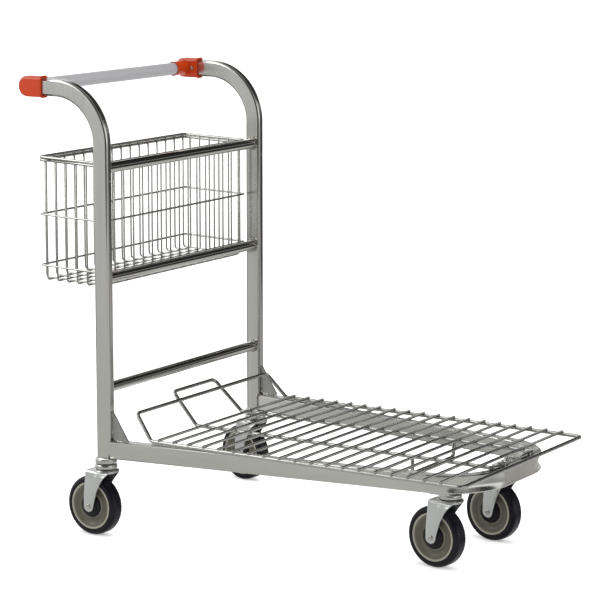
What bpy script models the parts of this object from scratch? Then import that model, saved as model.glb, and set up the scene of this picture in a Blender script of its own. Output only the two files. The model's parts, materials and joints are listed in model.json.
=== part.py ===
"""Hand trolley with a hinged wire deck, a wire basket behind two round crossbars and four swivel
castors. Metres, +Z up, +X towards the nose, the floor at z = 0. The origin is under the middle of
the trolley's length and width. Lengths along X are given ahead of the uprights, through ahead()."""

import math

import bmesh
import bpy
from mathutils import Matrix, Vector

GAP = 0.0003  # between pieces that touch on the real trolley

# Frame
UPRIGHT_SPACING = 0.560  # between the two uprights' centres
UPRIGHT_DEPTH, UPRIGHT_WIDTH, UPRIGHT_CORNER = 0.034, 0.019, 0.007
TUBE_WALL = 0.0015
HANDLE_Z = 0.9255
BEND_RADIUS = 0.112
CROSSBAR_HEIGHTS = {"lower": 0.312, "middle": 0.540, "top": 0.766}
CROSSBAR_RADIUS = 0.011

# Handle
HANDLE_RADIUS = 0.0135
HANDLE_X = -0.182
SOCKET_RADIUS = 0.0215  # the rounded rear end of each handle fitting
SOCKET_FRONT_X = -0.145
SOCKET_FLOOR_X = HANDLE_X + 0.0055  # where an upright's end stops inside its fitting
SLEEVE_RADIUS, SLEEVE_LENGTH = 0.016, 0.040
FITTING_WALL = 0.003
FITTING_SCREW_X = -0.158

# Chassis: one rectangular tube bent into a U
RAIL_HEIGHT, RAIL_WIDTH, RAIL_CORNER = 0.037, 0.025, 0.003
CHASSIS_BOTTOM = 0.1665
RAIL_TAPER = 0.147  # how far a rail runs inwards for each metre ahead
CHASSIS_WALL = 0.002
NOSE_FRONT_X = 0.816
NOSE_RADIUS = 0.118
GUSSET_LENGTH, GUSSET_HEIGHT = 0.042, 0.062
GUSSET_NOTCH, GUSSET_THICKNESS = 0.008, 0.003  # the notch clears the weld in the corner

# Deck
DECK_ROD_RADIUS, DECK_WIRE_RADIUS = 0.004, 0.0026
DECK_WIRE_COUNT, DECK_WIRE_PITCH, DECK_FIRST_WIRE_X = 19, 0.03665, 0.1183
DECK_HALF_WIDTH, DECK_WIRE_OVERHANG = 0.256, 0.0055
DECK_REAR_X, DECK_FRONT_X = 0.108, 0.824
INNER_ROD_Y = 0.085
HINGE_X, JOURNAL_END_Y, STAPLE_Y = 0.802, 0.028, 0.054
# The wide loop's crosspiece rests on the narrow loop's legs. Each top is ahead of the uprights, height.
WIDE_LOOP_BASE_X, WIDE_LOOP_TOP, WIDE_LOOP_TOP_Y = 0.098, (0.0535, 0.2590), 0.244
NARROW_LOOP_BASE_X, NARROW_LOOP_TOP, NARROW_LOOP_TOP_Y = 0.0925, (0.0275, 0.272), 0.0765
HOOP_X, HOOP_BOTTOM_Z = 0.617, 0.173
STAPLE_WIRE_RADIUS = 0.0022

# Basket
BASKET_REAR_X, BASKET_FRONT_X, BASKET_HALF_WIDTH = -0.1755, -0.0145, 0.2645
BASKET_TOP_Z, BASKET_MIDDLE_Z, BASKET_LOW_Z, BASKET_BASE_Z = 0.778, 0.6585, 0.552, 0.5255
BASKET_WIRE_RADIUS, BASKET_RING_RADIUS, BASKET_RIM_RADIUS = 0.002, 0.0025, 0.003
RIM_ROD_STEP = 0.0062  # between the two rods of the rim
BASKET_LONG_WIRES, BASKET_END_WIRES = 16, 6
BASKET_CORNER = 0.016  # from a corner to the nearest wire
BASKET_DROP = 0.0045  # the basket leans: its front hangs this much lower than its rear

# Castors
WHEEL_RADIUS, WHEEL_WIDTH, RIM_RADIUS = 0.0625, 0.032, 0.0495
TYRE_SHOULDER = 0.009
RIM_EDGE, WEB_HALF, HUB_RADIUS = 0.005, 0.006, 0.027  # the rolled edge; half the web; the hub's boss
HUB_HALF = 0.012  # half the width of the hub's boss
CAP_RADIUS, CAP_FACE_RADIUS = 0.0253, 0.0145
BUSH_RADIUS = 0.0082
CASTOR_TRAIL = 0.031
FRONT_CASTOR_X, FRONT_CASTOR_Y = 0.7225, 0.119
# How far each castor stands turned about its swivel axis, in degrees
CASTOR_TURNS = {"rear_left": -10.0, "rear_right": -2.5, "front_left": -8.0, "front_right": -7.0}
FORK_GAP, FORK_SHEET = 0.0385, 0.003  # between the two legs; thickness of each
LEG_END_RADIUS = 0.012
CROWN_RADIUS, CROWN_THICKNESS, CROWN_BOTTOM_Z = 0.0275, 0.004, 0.1355
SEAT_RADIUS, SEAT_TOP_Z = 0.0252, 0.1433  # the raised ring that holds the ball race
RACE_RADIUS, RACE_BOTTOM_Z, RACE_TOP_Z = 0.0235, 0.144, 0.1535
NECK_RADIUS = 0.0175
FLANGE_RADIUS, FLANGE_BOTTOM_Z = 0.0228, 0.157
AXLE_RADIUS, AXLE_HEAD_RADIUS, AXLE_HEAD_HEIGHT = 0.004, 0.006, 0.0045
AXLE_NUT_RADIUS, AXLE_NUT_HEIGHT, AXLE_END_LENGTH = 0.0075, 0.0055, 0.0075
KING_PIN_RADIUS, KING_RIVET_RADIUS, KING_RIVET_HEIGHT = 0.006, 0.009, 0.005
KING_NUT_RADIUS, KING_NUT_HEIGHT, KING_END_LENGTH = 0.0095, 0.007, 0.012
STEM_RADIUS, STEM_LENGTH = 0.0065, 0.030
CASTOR_PLATE_THICKNESS, CASTOR_PLATE_HALF_LENGTH = 0.0055, 0.0225
TYRE_STEPS, HUB_STEPS, BOLT_STEPS = 28, 14, 10

# Worked out from the above
DECK_ROD_Z = CHASSIS_BOTTOM + RAIL_HEIGHT + DECK_ROD_RADIUS + GAP
DECK_WIRE_Z = DECK_ROD_Z + DECK_ROD_RADIUS + DECK_WIRE_RADIUS - 0.0013
UPRIGHT_Y = UPRIGHT_SPACING / 2
RAIL_TOP = CHASSIS_BOTTOM + RAIL_HEIGHT
UPRIGHT_X = -(DECK_FRONT_X + DECK_ROD_RADIUS + HANDLE_X - SOCKET_RADIUS) / 2


def ahead(distance):
    """The world X of a place this far ahead of the uprights."""
    return UPRIGHT_X + distance


def clear_scene():
    for obj in list(bpy.data.objects):
        bpy.data.objects.remove(obj, do_unlink=True)


def new_collection(name, hidden=False):
    collection = bpy.data.collections.new(name)
    bpy.context.scene.collection.children.link(collection)
    collection.hide_render = hidden
    return collection


def material(name, colour, roughness, metallic):
    made = bpy.data.materials.new(name)
    made.use_nodes = True
    shader = made.node_tree.nodes["Principled BSDF"]
    shader.inputs["Base Color"].default_value = (*colour, 1.0)
    shader.inputs["Roughness"].default_value = roughness
    shader.inputs["Metallic"].default_value = metallic
    made.diffuse_color = (*colour, 1.0)
    return made


clear_scene()
PARTS = new_collection("wire_deck_trolley")
CUTTERS = new_collection("cutters_and_guides", hidden=True)
FINISHES = {
    "zinc": ((0.62, 0.63, 0.60), 0.28, 1.0),
    "handle": ((0.60, 0.60, 0.62), 0.42, 0.9),
    "orange": ((0.75, 0.09, 0.02), 0.30, 0.0),
    "tyre": ((0.025, 0.023, 0.035), 0.55, 0.0),
    "rim": ((0.24, 0.22, 0.17), 0.50, 0.0),
    "cap": ((0.02, 0.02, 0.02), 0.45, 0.0),
}


def finish(obj, look):
    """Gives the object a material of its own and puts it in the trolley's collection."""
    colour, roughness, metallic = FINISHES[look]
    obj.data.materials.clear()
    obj.data.materials.append(material(f"{obj.name}_{look}", colour, roughness, metallic))
    for collection in list(obj.users_collection):
        collection.objects.unlink(obj)
    PARTS.objects.link(obj)
    return obj


def helper(obj):
    """Marks a cutter or guide, which is not a piece of the trolley."""
    obj.hide_render = True
    obj.display_type = "WIRE"
    for collection in list(obj.users_collection):
        collection.objects.unlink(obj)
    CUTTERS.objects.link(obj)
    return obj


def curve_object(name, dimensions):
    data = bpy.data.curves.new(name, "CURVE")
    data.dimensions = dimensions
    obj = bpy.data.objects.new(name, data)
    PARTS.objects.link(obj)
    return obj


def add_path(obj, points, cyclic=False):
    spline = obj.data.splines.new("POLY")
    spline.points.add(len(points) - 1)
    for point, place in zip(spline.points, points):
        point.co = (*place, 1.0) if len(place) == 3 else (*place, 0.0, 1.0)
    spline.use_cyclic_u = cyclic
    return spline


def rod(name, paths, radius, sides=6):
    """Round rods through the given points, as one mesh object of separate capped bodies."""
    obj = curve_object(name, "3D")
    obj.data.bevel_depth = radius
    obj.data.bevel_resolution = sides // 2 - 2
    obj.data.use_fill_caps = True
    for points in paths:
        add_path(obj, points)
    return as_mesh(obj)


def as_mesh(obj):
    """The same object with its curve turned into a mesh whose caps are welded on."""
    graph = bpy.context.evaluated_depsgraph_get()
    mesh = bpy.data.meshes.new_from_object(obj.evaluated_get(graph))
    solid = bmesh.new()
    solid.from_mesh(mesh)
    bmesh.ops.remove_doubles(solid, verts=solid.verts, dist=1e-6)
    bmesh.ops.recalc_face_normals(solid, faces=solid.faces)
    solid.to_mesh(mesh)
    solid.free()
    made = bpy.data.objects.new(obj.name, mesh)
    made.matrix_world = obj.matrix_world
    PARTS.objects.link(made)
    name = obj.name
    bpy.data.objects.remove(obj, do_unlink=True)
    made.name = name
    made.data.name = name
    return made


def boolean(obj, other, operation):
    modifier = obj.modifiers.new(f"{operation.lower()}_{other.name}", "BOOLEAN")
    modifier.operation = operation
    modifier.object = helper(other)
    modifier.solver = "EXACT"


def arc(centre, radius, start, end, steps):
    """Points on an arc in a plane, angles in degrees."""
    for step in range(steps + 1):
        angle = math.radians(start + (end - start) * step / steps)
        yield (centre[0] + radius * math.cos(angle), centre[1] + radius * math.sin(angle))


def rounded_rectangle(width, height, corner, steps):
    points = []
    for quarter, (sx, sy) in enumerate(((1, 1), (-1, 1), (-1, -1), (1, -1))):
        centre = (sx * (width / 2 - corner), sy * (height / 2 - corner))
        points += arc(centre, corner, 90 * quarter, 90 * quarter + 90, steps)
    return points


def filleted(points, radius, steps=4):
    """The polyline with each inner corner replaced by an arc of the given radius."""
    places = [Vector(point) for point in points]
    made = [places[0]]
    for before, corner, after in zip(places, places[1:], places[2:]):
        inward, outward = (before - corner).normalized(), (after - corner).normalized()
        half = inward.angle(outward) / 2
        reach = radius / math.tan(half)
        centre = corner + (inward + outward).normalized() * (radius / math.sin(half))
        first = corner + inward * reach - centre
        axis = first.cross(corner + outward * reach - centre)
        for step in range(steps + 1):
            turn = Matrix.Rotation((math.pi - 2 * half) * step / steps, 3, axis)
            made.append(centre + turn @ first)
    made.append(places[-1])
    return [tuple(place) for place in made]


def flat_plate(name, outlines, thickness):
    """A flat piece lying in its own XY plane and centred on it. Inner outlines are holes."""
    obj = curve_object(name, "2D")
    obj.data.fill_mode = "BOTH"
    obj.data.extrude = thickness / 2
    for outline in outlines:
        add_path(obj, outline, cyclic=True)
    return as_mesh(obj)


def turned(name, profile, steps, closed=False):
    """A shape turned about local Z from (radius, height) points that run down its outer side."""
    mesh = bpy.data.meshes.new(name)
    outline = bmesh.new()
    corners = [outline.verts.new((radius, 0.0, height)) for radius, height in profile]
    for first, second in zip(corners, corners[1:]):
        outline.edges.new((first, second))
    if closed:
        outline.edges.new((corners[-1], corners[0]))
    outline.to_mesh(mesh)
    outline.free()
    obj = bpy.data.objects.new(name, mesh)
    PARTS.objects.link(obj)
    screw = obj.modifiers.new("turned", "SCREW")
    screw.axis = "Z"
    screw.angle = math.tau
    screw.steps = screw.render_steps = steps
    screw.use_merge_vertices = True
    screw.merge_threshold = 1e-5
    screw.use_smooth_shade = False
    return obj


def ring_profile(outer, inner, low, high):
    return [(outer, high), (outer, low), (inner, low), (inner, high)]


def sheet_tube(name, points, profile, wall):
    """A tube of any section along a path, open at both ends, its wall made by Solidify."""
    section = curve_object(f"{name}_section", "2D")
    section.data.fill_mode = "NONE"
    add_path(section, profile, cyclic=True)
    obj = curve_object(name, "3D")
    obj.data.bevel_mode = "OBJECT"
    obj.data.bevel_object = helper(section)
    obj.data.twist_mode = "MINIMUM"
    add_path(obj, points)
    shell = as_mesh(obj)
    skin = shell.modifiers.new("wall", "SOLIDIFY")
    skin.thickness = wall
    skin.offset = -1
    skin.use_rim = True
    return shell


# Frame pieces


def make_upright(side):
    centre = (ahead(-BEND_RADIUS), HANDLE_Z - BEND_RADIUS)
    bend = [(x, side * UPRIGHT_Y, z) for x, z in arc(centre, BEND_RADIUS, 0, 90, 8)]
    foot = (ahead(0), side * UPRIGHT_Y, CHASSIS_BOTTOM)
    end = (ahead(SOCKET_FLOOR_X) + GAP, side * UPRIGHT_Y, HANDLE_Z)
    section = rounded_rectangle(UPRIGHT_DEPTH, UPRIGHT_WIDTH, UPRIGHT_CORNER, 2)
    name = "upright_left" if side > 0 else "upright_right"
    finish(sheet_tube(name, [foot, *bend, end], section, TUBE_WALL), "zinc")


def make_crossbar(level, height):
    half = UPRIGHT_Y - UPRIGHT_WIDTH / 2 - GAP
    profile = ring_profile(CROSSBAR_RADIUS, CROSSBAR_RADIUS - TUBE_WALL, -half, half)
    bar = finish(turned(f"crossbar_{level}", profile, 20, closed=True), "zinc")
    bar.location = (ahead(0), 0, height)
    bar.rotation_euler = (math.pi / 2, 0, 0)


def make_handle_bar():
    half = UPRIGHT_Y - UPRIGHT_WIDTH / 2 - FITTING_WALL - GAP
    profile = ring_profile(HANDLE_RADIUS, HANDLE_RADIUS - TUBE_WALL, -half, half)
    bar = finish(turned("handle_bar", profile, 24, closed=True), "handle")
    bar.location = (ahead(HANDLE_X), 0, HANDLE_Z)
    bar.rotation_euler = (math.pi / 2, 0, 0)


def make_handle_fitting(side):
    """A moulded end: a half-round cap over the upright's end and a sleeve for the handle bar."""
    name = "handle_fitting_left" if side > 0 else "handle_fitting_right"
    half_width = UPRIGHT_WIDTH / 2 + FITTING_WALL
    outline = [(ahead(HANDLE_X) + x, z) for x, z in arc((0, 0), SOCKET_RADIUS, 90, 270, 10)]
    outline += [(ahead(SOCKET_FRONT_X), -SOCKET_RADIUS), (ahead(SOCKET_FRONT_X), SOCKET_RADIUS)]
    cap = flat_plate(name, [outline], 2 * half_width)
    upright_plane = Matrix.Rotation(math.pi / 2, 4, "X")
    cap.matrix_world = Matrix.Translation((0, side * UPRIGHT_Y, HANDLE_Z)) @ upright_plane
    root = -0.004  # the sleeve starts inside the cap
    sleeve_profile = [(0, SLEEVE_LENGTH), (SLEEVE_RADIUS, SLEEVE_LENGTH)]
    sleeve_profile += [(SLEEVE_RADIUS, root), (0, root)]
    sleeve = turned(f"{name}_sleeve", sleeve_profile, 20)
    inner_face = UPRIGHT_Y - half_width
    inwards = Matrix.Rotation(side * math.pi / 2, 4, "X")
    sleeve.matrix_world = (
        Matrix.Translation((ahead(HANDLE_X), side * inner_face, HANDLE_Z)) @ inwards
    )
    bore_radius, bore_length = HANDLE_RADIUS + GAP, 2 * SLEEVE_LENGTH
    bore_profile = [(0, bore_length), (bore_radius, bore_length), (bore_radius, 0), (0, 0)]
    bore = turned(f"{name}_bore", bore_profile, 24)
    bore.matrix_world = sleeve.matrix_world
    opening = (UPRIGHT_WIDTH + 2 * GAP, UPRIGHT_DEPTH + 2 * GAP)
    depth = 2 * (SOCKET_FRONT_X - SOCKET_FLOOR_X)
    socket_section = rounded_rectangle(*opening, UPRIGHT_CORNER, 2)
    socket = flat_plate(f"{name}_socket", [socket_section], depth)
    facing_ahead = Matrix.Rotation(math.pi / 2, 4, "Z") @ upright_plane
    socket.matrix_world = (
        Matrix.Translation((ahead(SOCKET_FRONT_X), side * UPRIGHT_Y, HANDLE_Z)) @ facing_ahead
    )
    boolean(cap, sleeve, "UNION")
    boolean(cap, bore, "DIFFERENCE")
    boolean(cap, socket, "DIFFERENCE")
    finish(cap, "orange")


def make_fitting_screw(side):
    """A pan-head screw in the fitting's inner face."""
    profile = [(0, 0.0026), (0.0028, 0.0022), (0.0038, 0.0008), (0.0038, 0), (0, 0)]
    screw = turned("fitting_screw_left" if side > 0 else "fitting_screw_right", profile, 12)
    face = UPRIGHT_Y - UPRIGHT_WIDTH / 2 - FITTING_WALL - GAP
    screw.location = (ahead(FITTING_SCREW_X), side * face, HANDLE_Z)
    screw.rotation_euler = (side * math.pi / 2, 0, 0)
    finish(screw, "zinc")


def rail_centre_y(distance):
    """The distance of a rail's centre line from the middle plane, this far ahead of the uprights."""
    start = UPRIGHT_Y + UPRIGHT_WIDTH / 2 - RAIL_WIDTH / 2
    return start - RAIL_TAPER * (distance - UPRIGHT_DEPTH / 2)


def make_chassis():
    start = UPRIGHT_DEPTH / 2 + GAP
    front = NOSE_FRONT_X - RAIL_WIDTH / 2
    middle = CHASSIS_BOTTOM + RAIL_HEIGHT / 2
    corners = [
        (ahead(start), -rail_centre_y(start), middle),
        (ahead(front), -rail_centre_y(front), middle),
        (ahead(front), rail_centre_y(front), middle),
        (ahead(start), rail_centre_y(start), middle),
    ]
    section = rounded_rectangle(RAIL_WIDTH, RAIL_HEIGHT, RAIL_CORNER, 1)
    tube = sheet_tube("chassis_frame", filleted(corners, NOSE_RADIUS, 7), section, CHASSIS_WALL)
    finish(tube, "zinc")


def make_gusset(side):
    """The triangular plate in the corner between an upright and the chassis."""
    rear, low = UPRIGHT_DEPTH / 2 + GAP, RAIL_TOP + GAP
    outline = [
        (ahead(rear) + GUSSET_NOTCH, low),
        (ahead(rear) + GUSSET_LENGTH, low),
        (ahead(rear), low + GUSSET_HEIGHT),
        (ahead(rear), low + GUSSET_NOTCH),
    ]
    name = "gusset_left" if side > 0 else "gusset_right"
    plate = flat_plate(name, [outline], GUSSET_THICKNESS)
    upright_plane = Matrix.Rotation(math.pi / 2, 4, "X")
    plate.matrix_world = Matrix.Translation((0, side * UPRIGHT_Y, 0)) @ upright_plane
    finish(plate, "zinc")


def make_castor_plate(side):
    """The plate under a nose bend that carries a front castor."""
    name = "castor_plate_left" if side > 0 else "castor_plate_right"
    x, half_length = ahead(FRONT_CASTOR_X), CASTOR_PLATE_HALF_LENGTH
    inner = FRONT_CASTOR_Y - CASTOR_PLATE_HALF_LENGTH - 0.005
    outer = rail_centre_y(FRONT_CASTOR_X) - 0.004
    corners = [(x - half_length, inner), (x + half_length, inner)]
    corners += [(x + half_length, outer), (x - half_length, outer)]
    outline = [(px, side * py) for px, py in filleted_outline(corners, 0.006)]
    hole = list(arc((x, side * FRONT_CASTOR_Y), KING_PIN_RADIUS + 2 * GAP, 0, 345, 23))
    plate = flat_plate(name, [outline, hole], CASTOR_PLATE_THICKNESS)
    plate.location.z = CHASSIS_BOTTOM - GAP - CASTOR_PLATE_THICKNESS / 2
    finish(plate, "zinc")


def filleted_outline(points, radius, steps=3):
    """A closed flat outline with rounded corners."""
    ring = [Vector((*point, 0)) for point in points]
    middle = (ring[0] + ring[-1]) / 2
    path = filleted([middle, *ring, middle], radius, steps)
    return [(x, y) for x, y, z in path[:-1]]


# Deck pieces


def make_deck_grid():
    """Transverse wires on a bent perimeter rod and two inner rods, whose front ends turn inwards
    and are the hinge's journals."""
    z = DECK_ROD_Z
    rear, front = ahead(DECK_REAR_X), ahead(DECK_FRONT_X)
    edge = [
        (rear, -DECK_HALF_WIDTH, z),
        (front, -DECK_HALF_WIDTH, z),
        (front, DECK_HALF_WIDTH, z),
        (rear, DECK_HALF_WIDTH, z),
    ]
    inner = [
        filleted(
            [
                (rear, side * INNER_ROD_Y, z),
                (ahead(HINGE_X), side * INNER_ROD_Y, z),
                (ahead(HINGE_X), side * JOURNAL_END_Y, z),
            ],
            0.010,
        )
        for side in (-1, 1)
    ]
    grid = rod("deck_grid", [filleted(edge, 0.010), *inner], DECK_ROD_RADIUS, 8)
    reach = DECK_HALF_WIDTH + DECK_WIRE_OVERHANG
    wires = []
    for number in range(DECK_WIRE_COUNT):
        x = ahead(DECK_FIRST_WIRE_X + number * DECK_WIRE_PITCH)
        wires.append([(x, -reach, DECK_WIRE_Z), (x, reach, DECK_WIRE_Z)])
    boolean(grid, rod("deck_wires", wires, DECK_WIRE_RADIUS, 4), "UNION")
    finish(grid, "zinc")


def make_rear_loop(name, base, top, top_y, corner=0.012):
    """A rod bent up and back from the deck's rear edge, and across."""
    start, base_x, base_y = ahead(DECK_REAR_X) - GAP, ahead(base[0]), base[1]
    top_x, top_z = ahead(top[0]), top[1]
    path = [
        (start, -base_y, DECK_ROD_Z),
        (base_x, -base_y, DECK_ROD_Z),
        (top_x, -top_y, top_z),
        (top_x, top_y, top_z),
        (base_x, base_y, DECK_ROD_Z),
        (start, base_y, DECK_ROD_Z),
    ]
    finish(rod(name, [filleted(path, corner, 3)], DECK_ROD_RADIUS, 8), "zinc")


def make_under_hoop():
    """A rod bent down from the inner rods, across and up again."""
    top = DECK_ROD_Z - DECK_ROD_RADIUS - GAP
    x = ahead(HOOP_X)
    path = [
        (x, -INNER_ROD_Y, top),
        (x, -INNER_ROD_Y, HOOP_BOTTOM_Z),
        (x, INNER_ROD_Y, HOOP_BOTTOM_Z),
        (x, INNER_ROD_Y, top),
    ]
    finish(rod("under_deck_hoop", [filleted(path, 0.010)], DECK_ROD_RADIUS, 8), "zinc")


def make_hinge_staple(side):
    """A bent wire over a journal, with its feet on the nose beam."""
    arch = DECK_ROD_RADIUS + 2 * GAP + STAPLE_WIRE_RADIUS
    y = side * STAPLE_Y
    foot = RAIL_TOP + GAP
    path = [(ahead(HINGE_X) + arch, y, foot)]
    path += [(x, y, z) for x, z in arc((ahead(HINGE_X), DECK_ROD_Z), arch, 0, 180, 8)]
    path += [(ahead(HINGE_X) - arch, y, foot)]
    name = "hinge_staple_left" if side > 0 else "hinge_staple_right"
    finish(rod(name, [path], STAPLE_WIRE_RADIUS, 8), "zinc")


# Basket pieces


def spread(low, high, count):
    return [low + (high - low) * step / (count - 1) for step in range(count)]


def grille(name, wires, rails, rims):
    """A flat wire panel: thin wires one way, thicker rods the other way, all welded together."""
    panel = rod(name, wires, BASKET_WIRE_RADIUS, 4)
    boolean(panel, rod(f"{name}_rails", rails, BASKET_RING_RADIUS, 4), "UNION")
    boolean(panel, rod(f"{name}_rims", rims, BASKET_RIM_RADIUS, 4), "UNION")
    finish(panel, "zinc")


def basket_z(height, x):
    """The world Z of a place in the leaning basket, x ahead of the uprights."""
    return height - BASKET_DROP * (x - BASKET_REAR_X) / (BASKET_FRONT_X - BASKET_REAR_X)


RING_HEIGHTS = (BASKET_LOW_Z, BASKET_MIDDLE_Z)
RIM_HEIGHTS = (BASKET_TOP_Z, BASKET_TOP_Z - RIM_ROD_STEP)
WALL_FOOT_Z = BASKET_BASE_Z + BASKET_WIRE_RADIUS + BASKET_RING_RADIUS
LONG_WIRE_PLACES = spread(
    BASKET_CORNER - BASKET_HALF_WIDTH, BASKET_HALF_WIDTH - BASKET_CORNER, BASKET_LONG_WIRES
)
END_WIRE_PLACES = spread(
    BASKET_REAR_X + BASKET_CORNER, BASKET_FRONT_X - BASKET_CORNER, BASKET_END_WIRES
)


def make_basket_long_wall(name, x):
    """The front or rear wall. Its rods run the whole width."""
    foot, top = basket_z(WALL_FOOT_Z, x), basket_z(BASKET_TOP_Z, x)
    wires = [[(ahead(x), y, foot), (ahead(x), y, top)] for y in LONG_WIRE_PLACES]
    width = BASKET_HALF_WIDTH
    rods = [
        [[(ahead(x), -width, basket_z(z, x)), (ahead(x), width, basket_z(z, x))] for z in heights]
        for heights in (RING_HEIGHTS, RIM_HEIGHTS)
    ]
    grille(name, wires, *rods)


def make_basket_end(side):
    """The left or right wall. Its rods run between the front and rear walls' rods."""
    y = side * (BASKET_HALF_WIDTH - BASKET_RIM_RADIUS)
    wires = [
        [(ahead(x), y, basket_z(WALL_FOOT_Z, x)), (ahead(x), y, basket_z(BASKET_TOP_Z, x))]
        for x in END_WIRE_PLACES
    ]
    spare = BASKET_RIM_RADIUS + GAP
    ends = (BASKET_REAR_X + spare, BASKET_FRONT_X - spare)
    rods = [
        [[(ahead(x), y, basket_z(z, x)) for x in ends] for z in heights]
        for heights in (RING_HEIGHTS, RIM_HEIGHTS)
    ]
    grille("basket_end_left" if side > 0 else "basket_end_right", wires, *rods)


def make_basket_base():
    """Wires across the basket lie on the wires along it."""
    across = [
        [(ahead(x), y, basket_z(BASKET_BASE_Z, x)) for x in (BASKET_REAR_X, BASKET_FRONT_X)]
        for y in LONG_WIRE_PLACES
    ]
    reach = BASKET_HALF_WIDTH - BASKET_RIM_RADIUS
    lower = BASKET_BASE_Z - 1.6 * BASKET_WIRE_RADIUS
    along = [
        [(ahead(x), y, basket_z(lower, x)) for y in (-reach, reach)] for x in END_WIRE_PLACES
    ]
    base = rod("basket_base", across, BASKET_WIRE_RADIUS, 4)
    boolean(base, rod("basket_base_along", along, BASKET_WIRE_RADIUS, 4), "UNION")
    finish(base, "zinc")


# Castors. Each is modelled about its own swivel axis, trailing towards -X.


def fork_leg_outline():
    """The side of a leg: upright behind, sloping in front, round at the axle."""
    top = CROWN_BOTTOM_Z + CROWN_THICKNESS / 2
    boss = arc((-CASTOR_TRAIL, WHEEL_RADIUS), LEG_END_RADIUS, 180, 350, 6)
    front = [(-0.009, 0.100), (0.010, 0.127), (0.013, top)]
    return [*boss, *front, (-CASTOR_TRAIL - LEG_END_RADIUS, top)]


def fork_mesh():
    """The fork: a crown with a raised race seat, and two legs."""
    half = FORK_GAP / 2 + FORK_SHEET
    rear = -CASTOR_TRAIL - LEG_END_RADIUS
    crown = [*arc((0, 0), CROWN_RADIUS, -120, 120, 12), (rear, half), (rear, -half)]
    pin_hole = list(arc((0, 0), KING_PIN_RADIUS + 2 * GAP, 0, 330, 11))
    middle = CROWN_BOTTOM_Z + CROWN_THICKNESS / 2
    fork = flat_plate("fork", [crown, pin_hole], CROWN_THICKNESS)
    fork.location.z = middle
    seat_profile = ring_profile(SEAT_RADIUS, KING_PIN_RADIUS + 3 * GAP, middle, SEAT_TOP_Z)
    boolean(fork, turned("fork_seat", seat_profile, 16, closed=True), "UNION")
    axle_hole = list(arc((-CASTOR_TRAIL, WHEEL_RADIUS), AXLE_RADIUS + 2 * GAP, 0, 315, 7))
    upright_plane = Matrix.Rotation(math.pi / 2, 4, "X")
    for side in (-1, 1):
        leg = flat_plate(f"fork_leg_{side + 1}", [fork_leg_outline(), axle_hole], FORK_SHEET)
        beside = Matrix.Translation((0, side * (FORK_GAP + FORK_SHEET) / 2, 0))
        leg.matrix_world = beside @ upright_plane
        boolean(fork, leg, "UNION")
    bpy.context.view_layer.update()
    graph = bpy.context.evaluated_depsgraph_get()
    mesh = bpy.data.meshes.new_from_object(fork.evaluated_get(graph))
    mesh.transform(fork.matrix_world)
    bpy.data.objects.remove(fork, do_unlink=True)
    return mesh


def head_profile(rear):
    """The fixed head, from its lower end: rivet head, king pin, ball race and neck, then a flange
    with a stem behind, or a flange with a bolt and nut through the castor plate in front."""
    pin, rivet_top = KING_PIN_RADIUS, CROWN_BOTTOM_Z - GAP
    rivet_bottom = rivet_top - KING_RIVET_HEIGHT
    profile = [(0, rivet_bottom), (KING_RIVET_RADIUS, rivet_bottom)]
    profile += [(KING_RIVET_RADIUS, rivet_top), (pin, rivet_top), (pin, RACE_BOTTOM_Z)]
    profile += [(RACE_RADIUS - 0.002, RACE_BOTTOM_Z), (RACE_RADIUS, RACE_BOTTOM_Z + 0.003)]
    profile += [(RACE_RADIUS, RACE_TOP_Z - 0.003), (RACE_RADIUS - 0.002, RACE_TOP_Z)]
    profile += [(NECK_RADIUS, RACE_TOP_Z), (NECK_RADIUS, FLANGE_BOTTOM_Z)]
    top = CHASSIS_BOTTOM - GAP
    if rear:
        profile += [(FLANGE_RADIUS, FLANGE_BOTTOM_Z), (FLANGE_RADIUS, top), (STEM_RADIUS, top)]
        profile += [(STEM_RADIUS, top + STEM_LENGTH), (0, top + STEM_LENGTH)]
    else:
        seat, above = top - GAP - CASTOR_PLATE_THICKNESS, top + GAP
        profile += [(FLANGE_RADIUS, FLANGE_BOTTOM_Z), (FLANGE_RADIUS, seat), (pin, seat)]
        profile += [(pin, above), (KING_NUT_RADIUS, above)]
        profile += [(KING_NUT_RADIUS, above + KING_NUT_HEIGHT), (pin, above + KING_NUT_HEIGHT)]
        profile += [(pin, above + KING_END_LENGTH), (0, above + KING_END_LENGTH)]
    return profile[::-1]


def tyre_profile():
    """The tyre's flats touch the floor, so its corners lie a little outside the wheel's radius."""
    half, crown = WHEEL_WIDTH / 2, WHEEL_RADIUS / math.cos(math.pi / TYRE_STEPS)
    centre, seat = (half - TYRE_SHOULDER, crown - TYRE_SHOULDER), RIM_RADIUS + GAP
    shoulder = list(arc(centre, TYRE_SHOULDER, 0, 90, 3))
    near = [(radius, across) for across, radius in shoulder]
    far = [(radius, -across) for across, radius in reversed(shoulder)]
    return [*near, *far, (seat, -half), (seat, half)]


def rim_profile():
    """The wheel's centre: a dished disc between the hub and the seat of the tyre."""
    half, bore = WHEEL_WIDTH / 2, BUSH_RADIUS + GAP
    face = [
        (RIM_RADIUS, half),
        (RIM_RADIUS - RIM_EDGE, half),
        (HUB_RADIUS + 0.003, WEB_HALF),
        (HUB_RADIUS, HUB_HALF),
        (bore, HUB_HALF),
    ]
    return [(radius, -across) for radius, across in face] + face[::-1]


def hub_profile():
    """The bearing bush and the two dust caps that close the hub."""
    out, inside = FORK_GAP / 2 - 2 * GAP, HUB_HALF + GAP
    bore = AXLE_RADIUS + 2 * GAP
    face = [(CAP_FACE_RADIUS, out), (CAP_RADIUS, inside), (BUSH_RADIUS, inside)]
    far = [(radius, -across) for radius, across in reversed(face)]
    return [*face, *far, (bore, -out), (bore, out)]


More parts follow.
